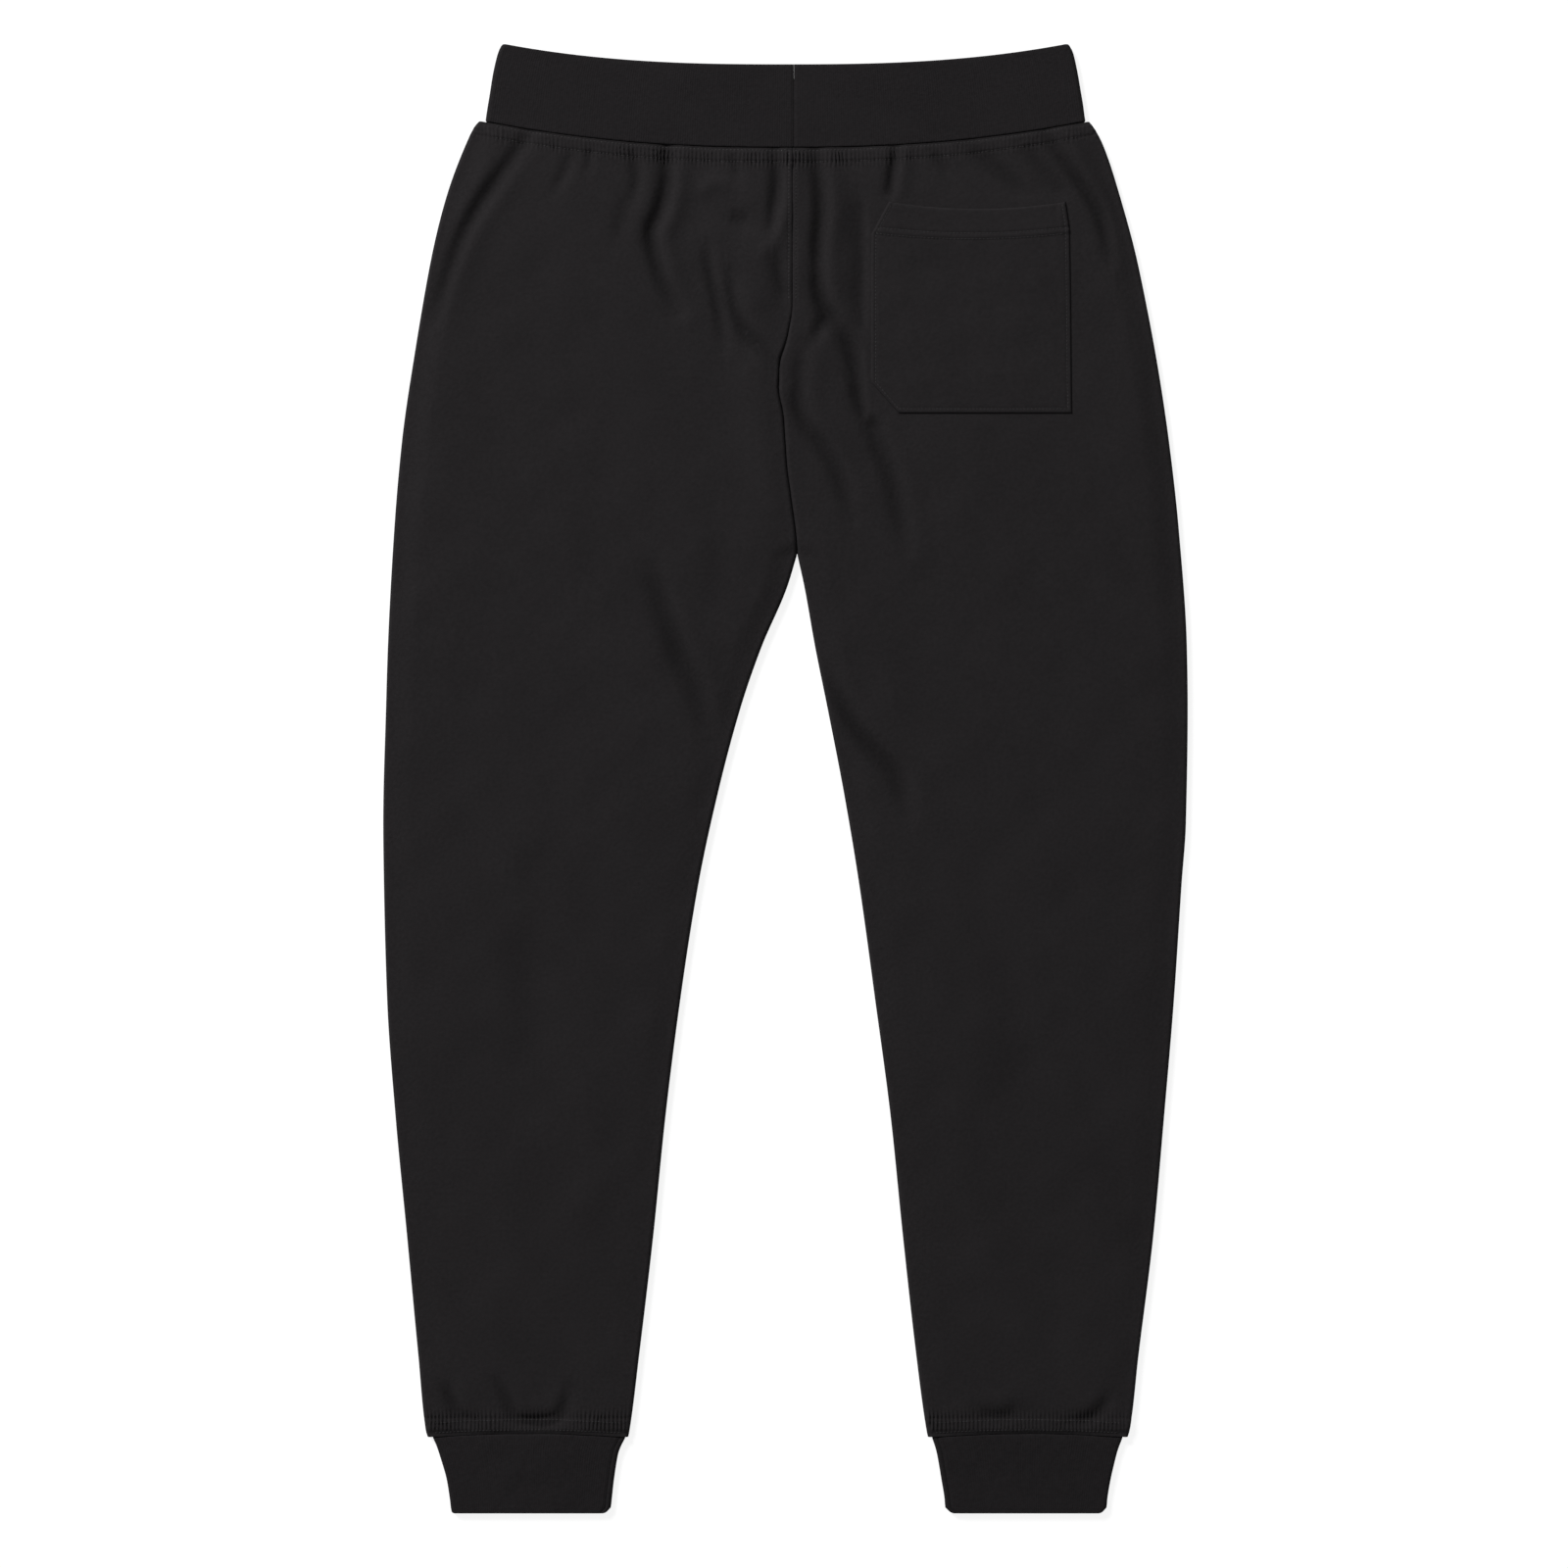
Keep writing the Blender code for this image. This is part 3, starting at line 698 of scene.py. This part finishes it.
FRONT_COUNTS = (15, 174, 15, 100, 8, 4)
for side, hand in ((LEFT, "left"), (RIGHT, "right")):
    node = f"front_panel_{hand}"
    outer, uv = panel_points(side, False, 0, FRONT_COUNTS)
    inner, _ = panel_points(side, False, PANEL_WALL, FRONT_COUNTS)
    panel = add_cloth(f"{node}_cloth", outer, inner, uv, panel_wear_and_shade(outer, ()), fleece_cloth, (3, 4))
    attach(panel, "root")
    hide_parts(node)


# ---- Waistband
# A tube of fine rib knit, folded double round its elastic and set into the waist, with the fold
# as its upper edge. Its ends are joined in an upright seam at the centre back.
BAND_WALL = 3.0
BAND_THICKNESS = 6.8
BAND_TOP_LOW = 1025.4
BAND_TOP_RISE = LENGTH - BAND_TOP_LOW
BAND_TOP_BEND = 2.6
BAND_SEAM_X = 6.0
SEAM_INSET = 1.0
RIB_DEPTH = 0.16
RIB_SAMPLES = 4
RIB_WAVE = 0.16
JOIN_DIP = 0.5
EDGE_STOP = 0.08  # the wall's two faces stop this far apart on its rounded edges

# share of the band's height, half-width
BAND_WIDTHS = ((0, 212.5), (0.3, 210.0), (0.65, 206.8), (0.9, 203.4), (1, 200.5))


def edge_rows(length, radius, turn_rows, flat_rows):
    """Distances along a folded strip of this length, closer together where its edges round off."""
    bend = radius * (1 - np.cos(np.linspace(0, np.pi / 2, turn_rows + 1)))
    flat = np.linspace(radius, length - radius, flat_rows + 1)
    return np.concatenate([bend[:-1], flat, length - bend[-2::-1]])


def edge_depth(along, length, wall):
    """How far a folded strip's face lies in from its flat: a quarter circle at both edges."""
    radius = wall / 2
    t = np.clip(np.minimum(along, length - along) / radius, 0, 1)
    return (radius - EDGE_STOP / 2) * (1 - np.sqrt(1 - (1 - t) ** 2))


def ring_points(ends, heights, thickness, depth, start, share, relief):
    """A flattened ring's face, as (rows, columns, 3), and its UV.

    Each row is a flat oval between its two ends, walked at an even pace from x = start on the
    back, round the left end, along the floor and round the right end, back to start. depth is a
    row's depth into the wall, and relief(round, row) lifts the face off it. heights(row, x, under)
    gives the heights, where under is 0 on the back and 1 on the floor.
    """
    radius = thickness / 2
    grid, uv = [], []
    for row, (left, right) in enumerate(ends):
        left, right = left + radius, right - radius
        begin = np.clip(start, left + SEAM_INSET, right - SEAM_INSET)
        turn, flat = np.pi * radius, right - left
        knots = np.cumsum([0, begin - left, turn, flat, turn, right - begin])
        passed = SEAM_GAP / 2 + share * (knots[-1] - SEAM_GAP)
        x = np.interp(passed, knots, (begin, left, left, right, right, begin))
        angle = np.interp(passed, knots, (0, 0, np.pi, np.pi, 2 * np.pi, 2 * np.pi))
        reach = radius - depth[row] + relief(passed, row)
        x = x - reach * np.sin(angle)
        under = (1 - np.cos(angle)) / 2
        y = heights(row, x, under)
        grid.append(np.stack([x, y, radius + reach * np.cos(angle)], axis=-1))
        uv.append(np.stack([passed, y], axis=-1))
    return np.stack(grid), np.stack(uv)


def add_ring(name, wall, thickness, ends, heights, length, along, start, back_middle, ribs, seed,
             stride):
    """A folded rib-knit tube: fine ribs and soft waves outside, plain inside, with rounded edges.

    back_middle is the share of the way round at which the middle of the back lies.
    """
    columns = np.linspace(0, 1, ribs * RIB_SAMPLES + 1)
    from_edge = edge_depth(along, length, wall)

    def outside(passed, row):
        rib = -RIB_DEPTH * np.cos(np.pi * ribs * columns) ** 2
        wave = RIB_WAVE * undulation(passed, along[row] + 0 * passed, seed, 14, 60)
        on_back = 0.5 + 0.5 * np.cos(2 * np.pi * (passed / passed[-1] - back_middle))
        join = -JOIN_DIP * (bell(passed / 1.3) + bell((passed[-1] - passed) / 1.3))
        inside = step(np.minimum(along[row], length - along[row]) / 5)
        return -from_edge[row] + rib + inside * wave * on_back + join

    def lining(passed, row):
        return from_edge[row] + 0 * passed

    outer, uv = ring_points(ends, heights, thickness, 0 * along, start, columns, outside)
    inner, _ = ring_points(ends, heights, thickness, 0 * along + wall, start, columns, lining)
    outer[:, :, 2] = np.maximum(outer[:, :, 2], 0)
    # Only wear here: the nap is paler along the first edge of the strip, with no painted shade
    wear_and_shade = np.repeat(bell((along - 1.5) / 2)[:, None], outer.shape[1], axis=1) * 0.6
    return add_cloth(name, outer, inner, uv, wear_and_shade, rib_cloth, stride)


def band_heights_at(shares):
    """The band's heights: from the waist seam to its upper edge, a power curve, by these shares."""

    def heights(row, x, under):
        foot = waist_seam(x) + GAP / 2 - under * front_dip(x)
        top = BAND_TOP_LOW + BAND_TOP_RISE * np.clip(np.abs(x / BAND_TOP_HALF), 0, 1) ** BAND_TOP_BEND
        top = top - under * front_dip(x)
        return foot + (top - foot) * shares[row]

    return heights


rib_cloth = fleece_finish("near-black rib knit", (0.0103, 0.0093, 0.0099))
BAND_HEIGHT = 57.0
BAND_RIBS = 525
band_along = edge_rows(BAND_HEIGHT, BAND_WALL / 2, 5, 20)
band_shares = band_along / BAND_HEIGHT
band_half = smooth_curve(band_shares, BAND_WIDTHS, 1)
waistband = add_ring(
    "waistband_rib", BAND_WALL, BAND_THICKNESS, np.stack([-band_half, band_half], axis=-1),
    band_heights_at(band_shares), BAND_HEIGHT, band_along, BAND_SEAM_X, 0, BAND_RIBS, 41, (1, 20),
)
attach(waistband, "root")
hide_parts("waistband")


# ---- Cuffs
# Each leg ends in a folded tube of the same rib knit, drawn in below the leg and joined at the
# inside leg. The leg's hem hangs over it a little.
CUFF_WALL = 2.4
CUFF_THICKNESS = 5.8
CUFF_FADE = 4  # exponent by which the hem's droop fades out down the cuff
CUFF_RIBS = 155

# height, left cuff's side and inner edges, right cuff's inner and side edges
CUFF_EDGES = (
    (0, -236.2, -127.5, 117.5, 223.7),
    (4, -237.0, -123.7, 113.2, 227.3),
    (10, -237.7, -123.0, 112.6, 228.0),
    (26, -240.4, -121.1, 110.0, 230.7),
    (43, -245.3, -118.3, 107.2, 234.8),
    (HEM, -250.0, -113.0, 103.5, 239.0),
)


def cuff_heights_at(side, levels):
    """The cuff's heights: level at its open end, drooping with the hem at its seam."""

    def heights(row, x, under):
        return levels[row] - (levels[row] / HEM) ** CUFF_FADE * (hem_droop(side, x) + GAP / 2)

    return heights


cuff_along = edge_rows(HEM, CUFF_WALL / 2, 5, 20)
for side, hand, first in ((LEFT, "left", 1), (RIGHT, "right", 3)):
    ends = np.stack([smooth_curve(cuff_along, CUFF_EDGES, first + k) for k in (0, 1)], axis=-1)
    cuff = add_ring(
        f"cuff_{hand}_rib", CUFF_WALL, CUFF_THICKNESS, ends, cuff_heights_at(side, cuff_along),
        HEM, cuff_along, -side * np.inf, 0.5 + 0.25 * side, CUFF_RIBS, 50 + side, (1, 10),
    )
    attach(cuff, "root")
    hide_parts(f"cuff_{hand}")


# ---- Back pocket
# A patch pocket of the same fleece, on the right back. Its mouth is turned in as a hem under twin
# needle rows, and its sides and foot are edge-stitched to the panel.
POCKET_WALL = 1.25
POCKET_HEM_WALL = 1.8
POCKET_HEM = 904.0
MOUTH_SAG = 5.0
TWIN_ROWS = (909.5, 905.3)
EDGE_STITCH = 3.2
POCKET_EDGE_RADIUS = 2.2
POCKET_GAP = 0.05
POCKET_PINCH = 0.4
POCKET_RIM = 0.15  # thickness left at the very outline
POCKET_FULLNESS = 0.5
POCKET_RIPPLE = 0.28
TACK_PLACE = (192, 924)
TACK_DEPTH = 0.7


def pocket_place(across, level):
    """The pocket's x and y from its share of the width and its level: rows sag to the mouth."""
    lefts, rights = (np.interp(level, *np.array(POCKET_ENDS)[:, (0, k)].T) for k in (1, 2))
    lowest, highest = POCKET_ENDS[0][0], POCKET_ENDS[-1][0]
    upward = (level - lowest) / (highest - lowest)
    x = lefts + (rights - lefts) * across
    return x, level - upward * MOUTH_SAG * 4 * across * (1 - across), rights - lefts


def pocket_top(across, level):
    """Height of the pocket's outer face over the panel, from its own two coordinates.

    It is the wall's thickness, more on the hem, rounded off at the outline, pinched along the
    stitch rows and slightly full and uneven in the middle.
    """
    x, y, width = pocket_place(across, level)
    from_side = np.minimum(across, 1 - across) * width
    from_end = np.minimum(level - POCKET_ENDS[0][0], POCKET_ENDS[-1][0] - level)
    from_edge = np.minimum(from_side, from_end)
    wall = POCKET_WALL + (POCKET_HEM_WALL - POCKET_WALL) * step((level - POCKET_HEM) / 1.6)
    t = np.clip(from_edge / POCKET_EDGE_RADIUS, 0, 1)
    wall = POCKET_RIM + (wall - POCKET_RIM) * np.sqrt(1 - (1 - t) ** 2)
    stitched = np.minimum(from_side, level - POCKET_ENDS[0][0])
    pinch = POCKET_PINCH * bell((stitched - EDGE_STITCH) / 0.9)
    for row in TWIN_ROWS:
        pinch = pinch + POCKET_PINCH * bell((level - row) / 0.9)
    pucker = 0.10 * bell((stitched - 2) / 3) * np.sin(2 * np.pi * (x + y) / PUCKER_PITCH)
    fullness = step((from_edge - EDGE_STITCH) / 25)
    soft = fullness * (POCKET_FULLNESS + POCKET_RIPPLE * undulation(x, y, 61, 24, 80))
    tack = TACK_DEPTH * bell((x - TACK_PLACE[0]) / 3) * bell((y - TACK_PLACE[1]) / 5)
    return wall - pinch + pucker + soft - tack


across = np.linspace(0, 1, 151)[None, :]
level = np.concatenate([
    np.linspace(778, 780, 5)[:-1],
    np.linspace(780, 900, 92)[:-1],
    np.linspace(900, 925.5, 42)[:-1],
    np.linspace(925.5, 927.5, 5),
])[::-1, None]
across, level = np.broadcast_arrays(across, level)
x, y, _ = pocket_place(across, level)
base = back_top(x, y) + POCKET_GAP
outer = np.stack([x, y, base + pocket_top(across, level)], axis=-1)
inner = np.stack([x, y, base], axis=-1)
pocket = add_cloth("back_pocket_cloth", outer, inner, outer[:, :, :2], 0 * x, fleece_cloth, (1, 5))
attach(pocket, "root")
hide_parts("back_pocket")


# ---- Stitching
# Matching polyester thread, in rows of separate stitches: two needle rows along the waist and each
# hem, twin rows beside the centre back seam, and the rows that hold the pocket and its mouth.
THREAD_RADIUS = 0.24
THREAD_PROUD = 0.55  # how far its middle lies out of the cloth, in its radius
STITCH_PITCH = 2.6
STITCH_SIDES = 5
# share of the stitch's length, share of its radius, share of its radius by which it is sunk
STITCH_PROFILE = ((0, 0.35, 1.0), (0.14, 0.85, 0.35), (0.5, 1, 0.1), (0.86, 0.85, 0.35), (1, 0.35, 1.0))


def stitch_row(path):
    """Stitches along a path of points, as (points, faces).

    Each is a short bent rod: rings of the thread's radius round the path, tapering and sinking at
    both ends, with closed ends. The path is walked at an even pace of one stitch a pitch.
    """
    path = np.asarray(path, float)
    passed = np.concatenate([[0], np.cumsum(np.linalg.norm(np.diff(path, axis=0), axis=1))])
    count = int(passed[-1] // STITCH_PITCH)
    shares, radii, sunk = np.array(STITCH_PROFILE).T
    at = (np.arange(count)[:, None] + 0.12 + 0.76 * shares) * STITCH_PITCH
    middle = np.stack([np.interp(at, passed, path[:, k]) for k in range(3)], axis=-1)
    ahead = middle[:, -1] - middle[:, 0]
    beside = np.stack([-ahead[:, 1], ahead[:, 0], 0 * ahead[:, 0]], axis=-1)
    beside /= np.linalg.norm(beside, axis=1, keepdims=True)
    turn = 2 * np.pi * np.arange(STITCH_SIDES) / STITCH_SIDES
    ring = beside[:, None, None] * np.cos(turn)[:, None]
    ring = ring + np.array([0, 0, 1.0]) * np.sin(turn)[:, None]
    middle[:, :, 2] -= sunk * THREAD_RADIUS
    points = middle[:, :, None] + ring * (radii * THREAD_RADIUS)[None, :, None, None]
    rings = len(shares)
    index = np.arange(rings * STITCH_SIDES).reshape(rings, STITCH_SIDES)
    onward = np.roll(index, -1, axis=1)
    sides = np.stack([index[:-1], onward[:-1], onward[1:], index[1:]], axis=-1).reshape(-1, 4)
    one = sides.tolist() + [index[0, ::-1].tolist(), index[-1].tolist()]
    each = rings * STITCH_SIDES
    faces = [[corner + k * each for corner in face] for k in range(count) for face in one]
    return points.reshape(-1, 3), faces


def add_stitches(name, rows, finish):
    """One joined mesh of several rows of stitches."""
    points, faces, before = [], [], 0
    for path in rows:
        row_points, row_faces = stitch_row(path)
        points.append(row_points)
        faces += [[corner + before for corner in face] for face in row_faces]
        before += len(row_points)
    points = (np.concatenate(points) - (0, LENGTH / 2, 0)) * MM
    mesh = bpy.data.meshes.new(name)
    mesh.from_pydata(points.tolist(), [], faces)
    mesh.shade_smooth()
    mesh.materials.append(finish)
    made = bpy.data.objects.new(name, mesh)
    bpy.context.scene.collection.objects.link(made)
    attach(made, "root")
    return made


def on_back(x, y):
    """A path on the back's face, with the thread lying half out of it."""
    x, y = np.broadcast_arrays(np.asarray(x, float), np.asarray(y, float))
    return np.stack([x, y, back_surface(x, y) + THREAD_RADIUS * THREAD_PROUD], axis=-1)


def on_front(x, y):
    """A path on the front's face, with the thread lying on the floor in the cloth's groove."""
    return np.stack([x, y, 0 * x + THREAD_RADIUS], axis=-1)


thread = bpy.data.materials.new("matching thread")
thread.use_nodes = True
shader = thread.node_tree.nodes["Principled BSDF"]
shader.inputs["Roughness"].default_value = 0.6
shader.inputs["Specular IOR Level"].default_value = 0.3
twist = thread.node_tree.nodes.new("ShaderNodeTexNoise")
twist.inputs["Scale"].default_value = 900
spot = thread.node_tree.nodes.new("ShaderNodeTexCoord")
shades = thread.node_tree.nodes.new("ShaderNodeValToRGB")
shades.color_ramp.elements[0].color = (0.008, 0.0074, 0.0078, 1)
shades.color_ramp.elements[1].color = (0.019, 0.0175, 0.0185, 1)
thread.node_tree.links.new(spot.outputs["Object"], twist.inputs["Vector"])
thread.node_tree.links.new(twist.outputs["Fac"], shades.inputs[0])
thread.node_tree.links.new(shades.outputs[0], shader.inputs["Base Color"])

down = np.linspace(WAIST_SEAM_LOW - 1, TWIN_END + 8, 90)
centre = smooth_curve(down, CENTRE_BACK, 1)
for side, hand in ((LEFT, "left"), (RIGHT, "right")):
    x = np.linspace(9 if side == RIGHT else 1, side * 206, 400)
    rows = [on_back(x, waist_seam(x) - away) for away in (NEEDLE_NEAR, NEEDLE_FAR)]
    low, high = sorted((side_edge(side, HEM), inner_edge(side, HEM, CENTRE_BACK)))
    x = np.linspace(low + 5, high - 5, 200)
    rows += [on_back(x, HEM + away - hem_droop(side, x)) for away in (NEEDLE_NEAR + 1, NEEDLE_FAR)]
    beside = centre - TWIN_HALF if side == LEFT else centre + 2.4
    rows.append(on_back(beside, down))
    add_stitches(f"back_stitches_{hand}", rows, thread)
    x = np.linspace(9 if side == RIGHT else 1, side * 200, 400)
    waist = waist_seam(x) - front_dip(x)
    rows = [on_front(x, waist - away) for away in (NEEDLE_NEAR, NEEDLE_FAR)]
    x = np.linspace(low + 5, high - 5, 200)
    rows += [on_front(x, HEM + away - hem_droop(side, x)) for away in (NEEDLE_NEAR + 1, NEEDLE_FAR)]
    add_stitches(f"front_stitches_{hand}", rows, thread)


def on_pocket(across, level):
    """A path on the pocket's outer face."""
    across, level = np.broadcast_arrays(np.asarray(across, float), np.asarray(level, float))
    x, y, _ = pocket_place(across, level)
    z = back_top(x, y) + POCKET_GAP + pocket_top(across, level) + THREAD_RADIUS * THREAD_PROUD
    return np.stack([x, y, z], axis=-1)


across = np.linspace(0.02, 0.98, 200)
rows = [on_pocket(across, row) for row in TWIN_ROWS]
inset = EDGE_STITCH / (POCKET_ENDS[3][2] - POCKET_ENDS[3][1])
lowest = POCKET_ENDS[0][0]
rows.append(on_pocket(np.linspace(inset, 1 - inset, 200), lowest + EDGE_STITCH))
upright = np.linspace(lowest + EDGE_STITCH, 926, 220)
rows.append(on_pocket(inset, upright))
rows.append(on_pocket(1 - inset, upright))
pocket_stitches = add_stitches("pocket_stitches", rows, thread)
